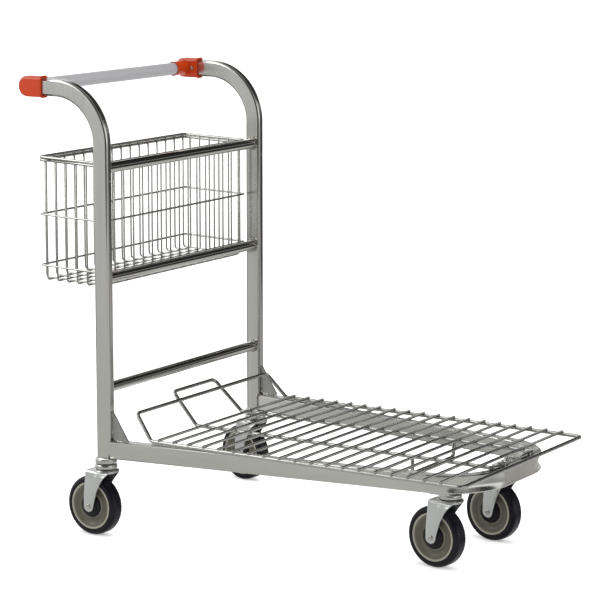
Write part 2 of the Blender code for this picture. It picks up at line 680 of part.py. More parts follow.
def bolt_profile():
    face = FORK_GAP / 2 + FORK_SHEET + GAP
    return [
        (0, face + AXLE_HEAD_HEIGHT),
        (AXLE_HEAD_RADIUS - 0.0015, face + AXLE_HEAD_HEIGHT),
        (AXLE_HEAD_RADIUS, face + AXLE_HEAD_HEIGHT - 0.0015),
        (AXLE_HEAD_RADIUS, face),
        (AXLE_RADIUS, face),
        (AXLE_RADIUS, -face - AXLE_END_LENGTH),
        (0, -face - AXLE_END_LENGTH),
    ]


def nut_profile():
    """Turned in six steps, so that its flats make a hexagon whose bore clears the bolt."""
    face, bore = FORK_GAP / 2 + FORK_SHEET + GAP, (AXLE_RADIUS + GAP) / math.cos(math.pi / 6)
    return ring_profile(AXLE_NUT_RADIUS, bore, -face - AXLE_NUT_HEIGHT, -face)


def pivot(name, place, parent=None):
    """An empty on a joint's axis, for the pieces that turn with it."""
    empty = bpy.data.objects.new(name, None)
    empty.empty_display_size = 0.03
    empty.location, empty.parent = place, parent
    PARTS.objects.link(empty)
    return empty


def on_axle(obj, parent, place, spin, look):
    """Lays a turned piece along Y at a place of its parent's."""
    obj.parent, obj.location = parent, place
    obj.rotation_euler = (math.pi / 2, spin, 0)
    return finish(obj, look)


def make_castor(corner, x, y, rear):
    turned(f"castor_head_{corner}", head_profile(rear), HUB_STEPS).location = (ahead(x), y, 0)
    finish(bpy.data.objects[f"castor_head_{corner}"], "zinc")
    swivel = pivot(f"swivel_axis_{corner}", (ahead(x), y, 0))
    swivel.rotation_euler.z = math.radians(CASTOR_TURNS[corner])
    fork = bpy.data.objects.new(f"castor_fork_{corner}", fork_mesh())
    PARTS.objects.link(fork)
    finish(fork, "zinc").parent = swivel
    axle = (-CASTOR_TRAIL, 0, WHEEL_RADIUS)
    wheel = pivot(f"wheel_axis_{corner}", axle, swivel)
    flat_down, here = math.pi / TYRE_STEPS, (0, 0, 0)
    tyre = turned(f"tyre_{corner}", tyre_profile(), TYRE_STEPS, closed=True)
    on_axle(tyre, wheel, here, flat_down, "tyre")
    rim = turned(f"wheel_rim_{corner}", rim_profile(), TYRE_STEPS, closed=True)
    on_axle(rim, wheel, here, flat_down, "rim")
    hub = turned(f"hub_bearing_{corner}", hub_profile(), HUB_STEPS, closed=True)
    on_axle(hub, wheel, here, 0, "cap")
    on_axle(turned(f"axle_bolt_{corner}", bolt_profile(), BOLT_STEPS), swivel, axle, 0, "zinc")
    on_axle(turned(f"axle_nut_{corner}", nut_profile(), 6, closed=True), swivel, axle, 0, "zinc")


def main():
    for side in (-1, 1):
        make_upright(side)
        make_handle_fitting(side)
        make_fitting_screw(side)
        make_gusset(side)
        make_castor_plate(side)
        make_hinge_staple(side)
        make_basket_end(side)
    for level, height in CROSSBAR_HEIGHTS.items():
        make_crossbar(level, height)
    make_handle_bar()
    make_chassis()
    make_deck_grid()
    wide_base, narrow_base = (WIDE_LOOP_BASE_X, DECK_HALF_WIDTH), (NARROW_LOOP_BASE_X, INNER_ROD_Y)
    make_rear_loop("rear_loop_wide", wide_base, WIDE_LOOP_TOP, WIDE_LOOP_TOP_Y)
    make_rear_loop("rear_loop_narrow", narrow_base, NARROW_LOOP_TOP, NARROW_LOOP_TOP_Y)
    make_under_hoop()
    make_basket_long_wall("basket_rear_wall", BASKET_REAR_X)
    make_basket_long_wall("basket_front_wall", BASKET_FRONT_X)
    make_basket_base()
    hinge = pivot("deck_hinge_axis", (ahead(HINGE_X), 0, DECK_ROD_Z))
    for name in ("deck_grid", "rear_loop_wide", "rear_loop_narrow", "under_deck_hoop"):
        piece = bpy.data.objects[name]
        piece.parent, piece.location = hinge, -hinge.location
    make_castor("rear_left", 0, UPRIGHT_Y, rear=True)
    make_castor("rear_right", 0, -UPRIGHT_Y, rear=True)
    make_castor("front_left", FRONT_CASTOR_X, FRONT_CASTOR_Y, rear=False)
    make_castor("front_right", FRONT_CASTOR_X, -FRONT_CASTOR_Y, rear=False)


main()
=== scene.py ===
"""Looks of the wire-deck hand trolley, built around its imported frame.

Lengths are in metres. +X points to the nose, +Y to the trolley's left and +Z up."""

import json
import math
import random

import bmesh
import bpy
from mathutils import Matrix, Vector, noise


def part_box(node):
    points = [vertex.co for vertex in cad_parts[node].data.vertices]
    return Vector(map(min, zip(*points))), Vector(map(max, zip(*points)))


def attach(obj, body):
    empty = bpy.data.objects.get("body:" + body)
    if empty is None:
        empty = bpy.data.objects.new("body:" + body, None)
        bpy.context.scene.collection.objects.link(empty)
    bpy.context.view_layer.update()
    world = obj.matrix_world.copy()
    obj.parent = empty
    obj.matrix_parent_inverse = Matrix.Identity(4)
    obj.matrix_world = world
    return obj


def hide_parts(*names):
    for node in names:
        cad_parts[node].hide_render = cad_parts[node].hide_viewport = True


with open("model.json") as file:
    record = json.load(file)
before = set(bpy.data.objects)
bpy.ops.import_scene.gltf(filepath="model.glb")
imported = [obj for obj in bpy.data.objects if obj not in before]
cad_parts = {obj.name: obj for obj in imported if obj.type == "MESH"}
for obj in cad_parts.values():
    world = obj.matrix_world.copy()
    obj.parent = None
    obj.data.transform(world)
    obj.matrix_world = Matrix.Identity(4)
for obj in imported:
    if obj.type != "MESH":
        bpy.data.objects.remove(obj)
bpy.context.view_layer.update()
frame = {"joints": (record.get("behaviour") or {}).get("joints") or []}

RANDOM = random.Random(7)
SIDES = {"left": 1, "right": -1}
ACROSS, UP = Vector((0, 1, 0)), Vector((0, 0, 1))


# Places, read from the frame


def low(node):
    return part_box(node)[0]


def high(node):
    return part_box(node)[1]


def middle(node):
    return (low(node) + high(node)) / 2


def joint_place(name):
    return next(Vector(joint["pos_m"]) for joint in frame["joints"] if joint["name"] == name)


# Shapes


def new_object(name, data):
    obj = bpy.data.objects.new(name, data)
    bpy.context.scene.collection.objects.link(obj)
    return obj


def mesh_object(name, vertices, faces):
    mesh = bpy.data.meshes.new(name)
    mesh.from_pydata([tuple(vertex) for vertex in vertices], [], faces)
    mesh.update()
    mesh.shade_smooth()
    return new_object(name, mesh)


def even_normals(obj):
    """Keeps the flat faces flat where they meet rounded edges."""
    modifier = obj.modifiers.new("even_normals", "WEIGHTED_NORMAL")
    modifier.weight = 90
    return obj


def arc(centre, radius, start, end, steps):
    """Points on an arc in a plane, angles in degrees."""
    points = []
    for step in range(steps + 1):
        angle = math.radians(start + (end - start) * step / steps)
        points.append((centre[0] + radius * math.cos(angle), centre[1] + radius * math.sin(angle)))
    return points


def spread(first, last, count):
    return [first + (last - first) * step / (count - 1) for step in range(count)]


def corner_arc(before, corner, after, radius, steps):
    """The points of the arc that rounds one corner of a polyline."""
    inward, outward = (before - corner).normalized(), (after - corner).normalized()
    half = inward.angle(outward) / 2
    centre = corner + (inward + outward).normalized() * (radius / math.sin(half))
    reach = radius / math.tan(half)
    first = corner + inward * reach - centre
    axis = first.cross(corner + outward * reach - centre)
    turns = [(math.pi - 2 * half) * step / steps for step in range(steps + 1)]
    return [centre + Matrix.Rotation(turn, 3, axis) @ first for turn in turns]


def rounded_path(points, radius, steps=8, closed=False):
    """A polyline with rounded corners."""
    places = [Vector(point) for point in points]
    count = len(places)
    inner = range(count) if closed else range(1, count - 1)
    made = [] if closed else [places[0]]
    for index in inner:
        neighbours = places[index - 1], places[index], places[(index + 1) % count]
        made += corner_arc(*neighbours, radius, steps)
    return made if closed else [*made, places[-1]]


def wires(name, paths, radius, sides=12, closed=False):
    """Round wires through the given points. Open ends are slightly domed."""
    data = bpy.data.curves.new(name, "CURVE")
    data.dimensions = "3D"
    data.bevel_depth = radius
    data.bevel_resolution = sides // 2 - 2
    data.use_fill_caps = True
    for path in paths:
        points = [Vector(point) for point in path]
        sizes = [1.0] * len(points)
        if not closed:
            start, end, dome = points[0], points[-1], radius * 0.35
            first, last = (points[1] - start).normalized(), (points[-2] - end).normalized()
            points = [start, start + first * dome, *points[1:-1], end + last * dome, end]
            sizes = [0.6, 1.0, *sizes[1:-1], 1.0, 0.6]
        spline = data.splines.new("POLY")
        spline.points.add(len(points) - 1)
        spline.use_cyclic_u = closed
        for control, place, size in zip(spline.points, points, sizes):
            control.co, control.radius = (*place, 1.0), size
    return new_object(name, data)


def rounded_rectangle(width, height, corner, steps=6, side_points=0):
    """The outline of a tube's section, with extra points along its flats if asked."""
    points = []
    for quarter, (sx, sy) in enumerate(((1, 1), (-1, 1), (-1, -1), (1, -1))):
        centre = (sx * (width / 2 - corner), sy * (height / 2 - corner))
        rounded = arc(centre, corner, 90 * quarter, 90 * quarter + 90, steps)
        if points and side_points:
            points += between(points[-1], rounded[0], side_points)
        points += rounded
    if side_points:
        points += between(points[-1], points[0], side_points)
    return points


def between(first, last, count):
    shares = [(number + 1) / (count + 1) for number in range(count)]
    return [tuple(a + (b - a) * share for a, b in zip(first, last)) for share in shares]


def sweep(name, path, across, section, closed=False):
    """A section carried along a path in one plane. across is that plane's normal, and section(index)
    gives the outline as (outwards, across) points."""
    points = [Vector(point) for point in path]
    vertices, faces = [], []
    for index, point in enumerate(points):
        before, after = points[max(index - 1, 0)], points[min(index + 1, len(points) - 1)]
        if closed:
            before, after = points[index - 1], points[(index + 1) % len(points)]
        outwards = across.cross(after - before).normalized()
        vertices += [point + outwards * a + across * b for a, b in section(index)]
    size = len(vertices) // len(points)
    for ring in range(len(points) if closed else len(points) - 1):
        start, following = ring * size, (ring + 1) % len(points) * size
        for corner in range(size):
            beside = (corner + 1) % size
            faces.append((start + corner, start + beside, following + beside, following + corner))
    if not closed:
        faces += [tuple(range(size))[::-1], tuple(range(len(vertices) - size, len(vertices)))]
    obj = mesh_object(name, vertices, faces)
    faces_outwards(obj.data)
    return even_normals(obj)


def faces_outwards(mesh):
    solid = bmesh.new()
    solid.from_mesh(mesh)
    bmesh.ops.recalc_face_normals(solid, faces=solid.faces)
    solid.to_mesh(mesh)
    solid.free()


def lathe(name, profile, axis="Z", steps=64):
    """A solid turned about its own axis from (radius, distance along the axis) points. The profile
    starts and ends on the axis, or closes on itself."""
    on_axis = profile[0][0] == 0
    vertices, rings, faces = [], [], []
    for radius, height in profile:
        count = 1 if radius == 0 else steps
        rings.append([len(vertices) + number for number in range(count)])
        for number in range(count):
            angle = math.tau * number / steps
            vertices.append((radius * math.cos(angle), radius * math.sin(angle), height))
    pairs = list(zip(rings, rings[1:]))
    if not on_axis:
        pairs.append((rings[-1], rings[0]))
    for upper, lower in pairs:
        for number in range(steps):
            beside = (number + 1) % steps
            corners = [upper[number % len(upper)], upper[beside % len(upper)]]
            corners += [lower[beside % len(lower)], lower[number % len(lower)]]
            faces.append(tuple(dict.fromkeys(corners)))
    obj = mesh_object(name, vertices, faces)
    if axis == "Y":
        obj.data.transform(Matrix.Rotation(-math.pi / 2, 4, "X"))
    faces_outwards(obj.data)
    return even_normals(obj)


def plate(name, outline, thickness, bevel=0.0006):
    """A flat piece in its own XY plane, centred on it, with rounded edges."""
    count = len(outline)
    vertices = [(x, y, z) for z in (-thickness / 2, thickness / 2) for x, y in outline]
    faces = [tuple(range(count))[::-1], tuple(range(count, 2 * count))]
    faces += [(n, (n + 1) % count, count + (n + 1) % count, count + n) for n in range(count)]
    obj = mesh_object(name, vertices, faces)
    faces_outwards(obj.data)
    soft_edges(obj, bevel)
    return obj


def soft_edges(obj, width, segments=3):
    bevel = obj.modifiers.new("rounded_edges", "BEVEL")
    bevel.width, bevel.segments, bevel.limit_method = width, segments, "ANGLE"
    bevel.angle_limit = math.radians(35)
    return even_normals(obj)


def bead(name, paths, radius, ripple=0.22, pitch=0.0045):
    """Weld beads along the given paths: ropes of metal with overlapping ripples."""
    data = bpy.data.curves.new(name, "CURVE")
    data.dimensions = "3D"
    data.bevel_depth = radius
    data.bevel_resolution = 3
    data.use_fill_caps = True
    for path in paths:
        points = resampled([Vector(point) for point in path], pitch / 4)
        spline = data.splines.new("POLY")
        spline.points.add(len(points) - 1)
        for index, (control, place) in enumerate(zip(spline.points, points)):
            ends = min(1.0, 0.45 + 0.25 * min(index, len(points) - 1 - index))
            phase = math.sin(math.tau * index / 4)
            shake = 1 + 0.12 * noise.noise(place * 400)
            control.co = (*place, 1.0)
            control.radius = ends * shake * (1 + ripple * phase)
    return new_object(name, data)


def resampled(points, step):
    """Points at even distances along a polyline."""
    made, left = [points[0]], step
    for first, last in zip(points, points[1:]):
        length, done = (last - first).length, 0.0
        while length - done >= left:
            done += left
            made.append(first.lerp(last, done / length))
            left = step
        left -= length - done
    return made if len(made) > 2 else [points[0], (points[0] + points[-1]) / 2, points[-1]]


# Materials


def node_material(name, **sockets):
    made = bpy.data.materials.new(name)
    made.use_nodes = True
    shader = made.node_tree.nodes["Principled BSDF"]
    for socket, value in sockets.items():
        shader.inputs[socket.replace("_", " ").title().replace("Ior", "IOR")].default_value = value
    return made, made.node_tree, shader


def link(tree, source, target):
    tree.links.new(source, target)


def math_node(tree, operation, *values):
    made = tree.nodes.new("ShaderNodeMath")
    made.operation = operation
    for socket, value in zip(made.inputs, values):
        if isinstance(value, bpy.types.NodeSocket):
            link(tree, value, socket)
        else:
            socket.default_value = value
    return made.outputs[0]


def noise_node(tree, scale, detail, stretch=(1, 1, 1), roughness=0.6):
    place = tree.nodes.new("ShaderNodeTexCoord")
    mapping = tree.nodes.new("ShaderNodeMapping")
    texture = tree.nodes.new("ShaderNodeTexNoise")
    mapping.inputs["Scale"].default_value = stretch
    texture.inputs["Scale"].default_value = scale
    texture.inputs["Detail"].default_value = detail
    texture.inputs["Roughness"].default_value = roughness
    link(tree, place.outputs["Object"], mapping.inputs["Vector"])
    link(tree, mapping.outputs["Vector"], texture.inputs["Vector"])
    return texture.outputs["Fac"]


def ramp(tree, source, stops):
    """A colour or grey that follows source, given as (position, grey or colour) stops."""
    made = tree.nodes.new("ShaderNodeValToRGB")
    elements = made.color_ramp.elements
    while len(elements) < len(stops):
        elements.new(0.5)
    for element, (position, value) in zip(elements, stops):
        colour = value if isinstance(value, tuple) else (value, value, value)
        element.position, element.color = position, (*colour, 1.0)
    link(tree, source, made.inputs["Fac"])
    return made.outputs["Color"]


def bump(tree, shader, source, strength, distance):
    made = tree.nodes.new("ShaderNodeBump")
    made.inputs["Strength"].default_value = strength
    made.inputs["Distance"].default_value = distance
    link(tree, source, made.inputs["Height"])
    link(tree, made.outputs["Normal"], shader.inputs["Normal"])


def metal(
    name, light, dark, smooth, rough, stretch=(1, 1, 1), grain=0.05, cloud_scale=18, metallic=1.0
):
    """Zinc-plated steel: a cloudy tint, uneven gloss, and a fine grain drawn along the piece."""
    made, tree, shader = node_material(name, metallic=metallic)
    clouds = noise_node(tree, cloud_scale, 3, stretch)
    link(tree, ramp(tree, clouds, [(0.3, dark), (0.7, light)]), shader.inputs["Base Color"])
    streaks = noise_node(tree, 160, 4, stretch)
    link(tree, ramp(tree, streaks, [(0.25, smooth), (0.8, rough)]), shader.inputs["Roughness"])
    bump(tree, shader, noise_node(tree, 420, 3, stretch), grain, 0.0004)
    return made


def plastic(name, light, dark, roughness, peel=0.08, peel_scale=260, shine=0.5):
    made, tree, shader = node_material(name, specular_ior_level=shine)
    clouds = noise_node(tree, 26, 3)
    link(tree, ramp(tree, clouds, [(0.3, dark), (0.7, light)]), shader.inputs["Base Color"])
    scuffs = noise_node(tree, 90, 5)
    spots = [(0.35, roughness * 0.85), (0.75, roughness * 1.25)]
    link(tree, ramp(tree, scuffs, spots), shader.inputs["Roughness"])
    bump(tree, shader, noise_node(tree, peel_scale, 2), peel, 0.0005)
    return made


def wheel_centre():
    """An olive-grey moulding with painted light and shade: paler on its rolled edge and on the hub's
    boss as if lit, and darker in its dished face as painted shade.
    """
    made, tree, shader = node_material("wheel_centre", specular_ior_level=0.4)
    place, flat = tree.nodes.new("ShaderNodeTexCoord"), tree.nodes.new("ShaderNodeVectorMath")
    distance = tree.nodes.new("ShaderNodeVectorMath")
    flat.operation, distance.operation = "MULTIPLY", "LENGTH"
    flat.inputs[1].default_value = (1, 0, 1)
    link(tree, place.outputs["Object"], flat.inputs[0])
    link(tree, flat.outputs["Vector"], distance.inputs[0])
    share = math_node(tree, "MULTIPLY", distance.outputs["Value"], 20.0)
    # Painted light and shade by radius: the dish is painted darker as shade in its hollow, and the
    # shoulder, the rolled edge and the boss paler as lit
    boss, dish = (0.15, 0.145, 0.11), (0.085, 0.082, 0.058)
    shoulder, edge = (0.12, 0.115, 0.085), (0.27, 0.26, 0.21)
    stops = [(0.50, boss), (0.60, dish), (0.80, dish), (0.885, shoulder), (0.925, edge), (1.0, edge)]
    mix = tree.nodes.new("ShaderNodeMix")
    mix.data_type, mix.blend_type = "RGBA", "MULTIPLY"
    mix.inputs["Factor"].default_value = 1.0
    link(tree, ramp(tree, share, stops), mix.inputs[6])
    link(tree, ramp(tree, noise_node(tree, 30, 4), [(0.3, 0.82), (0.7, 1.08)]), mix.inputs[7])
    link(tree, mix.outputs[2], shader.inputs["Base Color"])
    scuffs = ramp(tree, noise_node(tree, 90, 5), [(0.35, 0.34), (0.75, 0.5)])
    link(tree, scuffs, shader.inputs["Roughness"])
    bump(tree, shader, noise_node(tree, 260, 2), 0.1, 0.0005)
    return made


# The light and the dark tint of each look
TUBE = (0.67, 0.67, 0.635), (0.58, 0.58, 0.545)
THIN_WIRE = (0.56, 0.56, 0.535), (0.43, 0.43, 0.41)
SHEET = (0.70, 0.72, 0.71), (0.58, 0.60, 0.59)
PLATE = (0.44, 0.44, 0.425), (0.30, 0.30, 0.29)
BRIGHT = (0.64, 0.64, 0.62), (0.54, 0.54, 0.52)
WELD = (0.66, 0.65, 0.61), (0.38, 0.36, 0.32)
SATIN_GREY = (0.50, 0.50, 0.515), (0.45, 0.45, 0.465)
ORANGE = (0.40, 0.036, 0.006), (0.35, 0.030, 0.005)
RUBBER = (0.0060, 0.0055, 0.0090), (0.0035, 0.0033, 0.0055)
BLACK = (0.0045, 0.0045, 0.0070), (0.003, 0.003, 0.0045)
MATERIALS = {
    "tube_upright": metal("zinc_tube_upright", *TUBE, 0.17, 0.27, (1, 1, 0.06)),
    "tube_ahead": metal("zinc_tube_ahead", *TUBE, 0.18, 0.28, (0.06, 1, 1)),
    "tube_across": metal("zinc_tube_across", *TUBE, 0.07, 0.14, (1, 0.06, 1), 0.03),
    "wire": metal("zinc_wire", *THIN_WIRE, 0.20, 0.32, grain=0.03),
    "sheet": metal("zinc_sheet", *SHEET, 0.28, 0.42, grain=0.08),
    "plate": metal("zinc_plate", *PLATE, 0.28, 0.42, grain=0.12, cloud_scale=60),
    "bright": metal("bright_plating", *BRIGHT, 0.12, 0.22, grain=0.02),
    "weld": metal("weld_metal", *WELD, 0.2, 0.45, grain=0.3, cloud_scale=150),
    "handle": metal("handle_satin", *SATIN_GREY, 0.46, 0.56, (1, 0.05, 1), metallic=0.45),
    "orange": plastic("orange_moulding", *ORANGE, 0.15, shine=0.46),
    "tyre": plastic("tyre_rubber", *RUBBER, 0.30, peel=0.12, shine=0.22),
    "rim": wheel_centre(),
    "cap": plastic("hub_cap", *BLACK, 0.26, shine=0.22),
}


def add(obj, look, body, *replaced):
    """Gives a piece its material and body, and hides the frame nodes that it stands for."""
    obj.data.materials.clear()
    obj.data.materials.append(MATERIALS[look])
    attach(obj, body)
    if replaced:
        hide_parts(*replaced)
    return obj


# The frame


UPRIGHT_DEPTH, UPRIGHT_CORNER = 0.0362, 0.0056
CAD_HALF_DEPTH = 0.017  # from the front face of the CAD's upright to its middle
BEND_RADIUS, RIVET_Z = 0.112, 0.742
RIVET_PROFILE = ((0, 0.0012), (0.0013, 0.0009), (0.0021, 0), (0.0021, -0.001), (0, -0.001))
BEAD_RADIUS = 0.0022
SOCKET_X = high("handle_fitting_left").x  # the open front of the handle fittings
BAR_X, BAR_Z = middle("handle_bar").x, middle("handle_bar").z
BAR_RADIUS = (high("handle_bar").z - low("handle_bar").z) / 2


def make_upright(side):
    node = f"upright_{side}"
    bottom, y = low(node).z, middle(node).y
    x = high(node).x - CAD_HALF_DEPTH
    centre = (x - BEND_RADIUS, BAR_Z - BEND_RADIUS)
    bend = [(ahead, y, up) for ahead, up in arc(centre, BEND_RADIUS, 0, 90, 40)]
    path = [(x, y, bottom), (x, y, centre[1] - 0.02), *bend, (low(node).x, y, BAR_Z)]
    outline = rounded_rectangle(UPRIGHT_DEPTH, high(node).y - low(node).y, UPRIGHT_CORNER)
    tube = sweep(f"{node}_tube", path, ACROSS, lambda index: outline)
    add(tube, "tube_upright", "frame", node)
    rivet = lathe(f"{node}_rivet", RIVET_PROFILE, steps=24)
    place = (x + UPRIGHT_DEPTH / 2, y, RIVET_Z)
    rivet.matrix_world = Matrix.Translation(place) @ Matrix.Rotation(math.pi / 2, 4, "Y")
    add(rivet, "bright", "frame")


def circle_path(centre, radius, normal, start=0.0, end=360.0, steps=48):
    """Points round a circle in the plane across the given horizontal normal."""
    sideways = normal.cross(UP).normalized()
    return [centre + sideways * a + UP * b for a, b in arc((0, 0), radius, start, end, steps)]


def make_crossbar(level):
    node = f"crossbar_{level}"
    radius = (high(node).z - low(node).z) / 2
    end, place = high(node).y, middle(node)
    profile = [(0, end), (radius, end), (radius, -end), (0, -end)]
    bar = lathe(f"{node}_bar", profile, "Y")
    bar.location = (place.x, 0, place.z)
    add(bar, "tube_across", "frame", node)
    paths = []
    for side in SIDES.values():
        centre = Vector((place.x, side * (end - 0.0012), place.z))
        for start, stop in ((28, 152), (208, 332)):
            paths.append(circle_path(centre, radius + 0.0006, ACROSS, start, stop))
    add(bead(f"{node}_welds", paths, BEAD_RADIUS), "weld", "frame")


def make_handle_bar():
    end = high("handle_bar").y
    profile = [(0, end), (BAR_RADIUS, end), (BAR_RADIUS, -end), (0, -end)]
    bar = lathe("handle_bar_tube", profile, "Y")
    bar.location = (BAR_X, 0, BAR_Z)
    add(bar, "handle", "frame", "handle_bar")


CAP_RISE = 0.0012  # how far the cap stands past the CAD's, at the top and the bottom
CAP_STEPS, CAP_CORNER, CAP_ROUNDNESS = 22, 0.0065, 0.72
# How far each ring of the cap's lip lies behind its open front, below its top and inside its flanks
CAP_LIP = [(0, 0.0007, 0.0007), (0.0006, 0, 0), (0.0022, 0, 0)]
CAP_LIP += [(0.0027, 0.0008, 0.0004), (0.0031, 0.0020, 0.0016), (0.0034, CAP_RISE, 0.0008)]


def make_handle_fitting(side):
    """A cap with rounded edges, a round end and a lip, and a collar round the handle bar."""
    node = f"handle_fitting_{side}"
    sign, y = SIDES[side], middle(f"upright_{side}").y
    half_width = abs(high(node).y if sign > 0 else low(node).y) - abs(y)
    radius = (high(node).z - low(node).z) / 2 + CAP_RISE
    sections = [(SOCKET_X - back, radius - down, half_width - inset) for back, down, inset in CAP_LIP]
    for step in range(CAP_STEPS):
        turn = math.radians(90 * step / CAP_STEPS)
        across, along = math.cos(turn) ** CAP_ROUNDNESS, math.sin(turn) ** CAP_ROUNDNESS
        x = BAR_X + 0.005 - (radius + 0.004) * along
        width = half_width * (0.70 + 0.26 * across**0.6)
        sections.append((x, (radius - CAP_RISE) * across, width))
    add(loft(f"{node}_cap", sections, y, BAR_Z, CAP_CORNER), "orange", "frame", node)
    inner = abs(y) - half_width
    end = abs(low(node).y if sign > 0 else high(node).y)
    bore, sleeve = BAR_RADIUS + 0.0004, BAR_RADIUS + 0.0025
    profile = [(bore, inner + 0.006), (sleeve + 0.0018, inner + 0.006)]
    profile += [(sleeve + 0.0010, inner - 0.003), (sleeve - 0.0004, inner - 0.007)]
    profile += [(sleeve - 0.0008, end + 0.006), (sleeve + 0.0001, end + 0.0018)]
    profile += [(sleeve - 0.0004, end), (bore + 0.0008, end), (bore, end + 0.0012)]
    collar = lathe(f"{node}_collar", [(r, sign * d) for r, d in profile], "Y", 48)
    collar.location = (BAR_X, 0, BAR_Z)
    add(collar, "orange", "frame")


def loft(name, sections, y, z, corner):
    """A solid through rounded rectangles that stand across X: (x, half height, half width)."""
    vertices, faces = [], []
    for x, half_height, half_width in sections:
        rounding = min(corner, half_height * 0.96, half_width * 0.96)
        outline = rounded_rectangle(2 * half_width, 2 * half_height, rounding, 8)
        vertices += [(x, y + across, z + up) for across, up in outline]
    size = len(vertices) // len(sections)
    for ring in range(len(sections) - 1):
        for number in range(size):
            a, b = ring * size + number, ring * size + (number + 1) % size
            faces.append((a, b, b + size, a + size))
    faces += [tuple(range(size))[::-1], tuple(range(len(vertices) - size, len(vertices)))]
    obj = mesh_object(name, vertices, faces)
    faces_outwards(obj.data)
    return even_normals(obj)


def make_fitting_screw(side):
    node = f"fitting_screw_{side}"
    place, sign = middle(node), SIDES[side]
    base = high(node).y if sign > 0 else low(node).y
    profile = [(0, 0.0026), (0.0012, 0.0025), (0.0026, 0.0020), (0.0036, 0.0008), (0.0037, 0), (0, 0)]
    head = lathe(f"{node}_head", profile, steps=32)
    head.matrix_world = (
        Matrix.Translation((place.x, base, place.z)) @ Matrix.Rotation(sign * math.pi / 2, 4, "X")
    )
    add(head, "bright", "frame", node)


NOSE_RADIUS, NOSE_STEPS = 0.118, 36
RAIL_WIDTH, RAIL_CORNER, RAIL_TAPER = 0.025, 0.003, 0.147
CRIMP_FIRST, CRIMP_STEPS, CRIMP_DEPTH = 9, 28, 0.0072  # both counts are in steps of a bend
OUTER = -1  # the side of a section that faces out of the chassis bend


def make_chassis():
    """The tube is crimped where it bends: its outer wall is drawn in between two lips."""
    box_low, box_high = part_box("chassis_frame")
    height, width = box_high.z - box_low.z, RAIL_WIDTH
    front, rear = box_high.x - width / 2, box_low.x
    start_y = high("upright_left").y - width / 2
    front_y = start_y - RAIL_TAPER * (front - rear)
    z = (box_low.z + box_high.z) / 2
    corners = [(rear, -start_y, z), (front, -front_y, z), (front, front_y, z), (rear, start_y, z)]
    path = rounded_path(corners, NOSE_RADIUS, NOSE_STEPS)
    outline = rounded_rectangle(width, height, RAIL_CORNER, 4, 9)
    last = len(path) - 1

    def section(index):
        step = min(index, last - index) - CRIMP_FIRST
        crimped = 0 < step < CRIMP_STEPS
        depth = CRIMP_DEPTH * math.sin(math.pi * step / CRIMP_STEPS) ** 0.8 if crimped else 0
        drawn = []
        for a, b in outline:
            share = min(max(b / height + 0.5, 0.0), 1.0)
            on_outer_wall = a * OUTER > width / 2 - 0.0001
            inward = depth * math.sin(math.pi * share**0.8) ** 2 if on_outer_wall else 0
            drawn.append((a - OUTER * inward, b))
        return drawn

    tube = sweep("chassis_tube", path, UP, section)
    add(tube, "tube_ahead", "frame", "chassis_frame")
    paths = []
    for sign in SIDES.values():
        inner, outer = sign * (start_y - width / 2), sign * (start_y + width / 2 - 0.001)
        x = rear - 0.0002
        paths.append([(x, inner, box_high.z), (x, outer, box_high.z)])
        paths.append([(x, inner, box_low.z), (x, outer, box_low.z)])
        paths.append([(x, inner, box_high.z), (x, inner, box_low.z)])
    add(bead("chassis_welds", paths, BEAD_RADIUS), "weld", "frame")


GUSSET_NOTCH = 0.008  # the corner is cut off, clear of the weld behind it


def make_gusset(side):
    node = f"gusset_{side}"
    (x0, _, z0), (x1, _, z1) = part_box(node)
    y = middle(node).y
    outline = [(x0 + GUSSET_NOTCH, z0), (x1 - 0.002, z0), (x1, z0 + 0.002)]
    outline += [(x0 + 0.003, z1), (x0, z1), (x0, z0 + GUSSET_NOTCH)]
    piece = plate(f"{node}_plate", outline, high(node).y - low(node).y, 0.0005)
    piece.matrix_world = Matrix.Translation((0, y, 0)) @ Matrix.Rotation(math.pi / 2, 4, "X")
    add(piece, "plate", "frame", node)
    paths = [
        [(x0 + 0.012, y, z0), (x0 + 0.034, y, z0)],
        [(x0, y, z0 + 0.014), (x0, y, z0 + 0.030)],
        [(x0, y, z1 - 0.012), (x0, y, z1)],
    ]
    add(bead(f"{node}_welds", paths, 0.0030), "weld", "frame")


def make_castor_plate(side):
    node = f"castor_plate_{side}"
    corner_low, corner_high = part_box(node)
    size, place = corner_high - corner_low, (corner_low + corner_high) / 2
    piece = plate(f"{node}_sheet", rounded_rectangle(size.x, size.y, 0.006), size.z, 0.0008)
    piece.location = place
    add(piece, "sheet", "frame", node)


# The deck


ROD = (high("under_deck_hoop").x - low("under_deck_hoop").x) / 2
ROD_Z = low("deck_grid").z + ROD
ROD_BEND = 0.0115
DECK_WIRE, DECK_WIRE_COUNT, DECK_WIRE_PITCH = 0.0031, 19, 0.03665
WIDE_TOP_Y, WIDE_LEAN = 0.244, 0.0445  # how far the loop's top lies behind its base
NARROW_TOP_Y, NARROW_LEAN = 0.0765, 0.065
JOURNAL_END_Y = 0.028
HINGE = joint_place("deck_hinge")


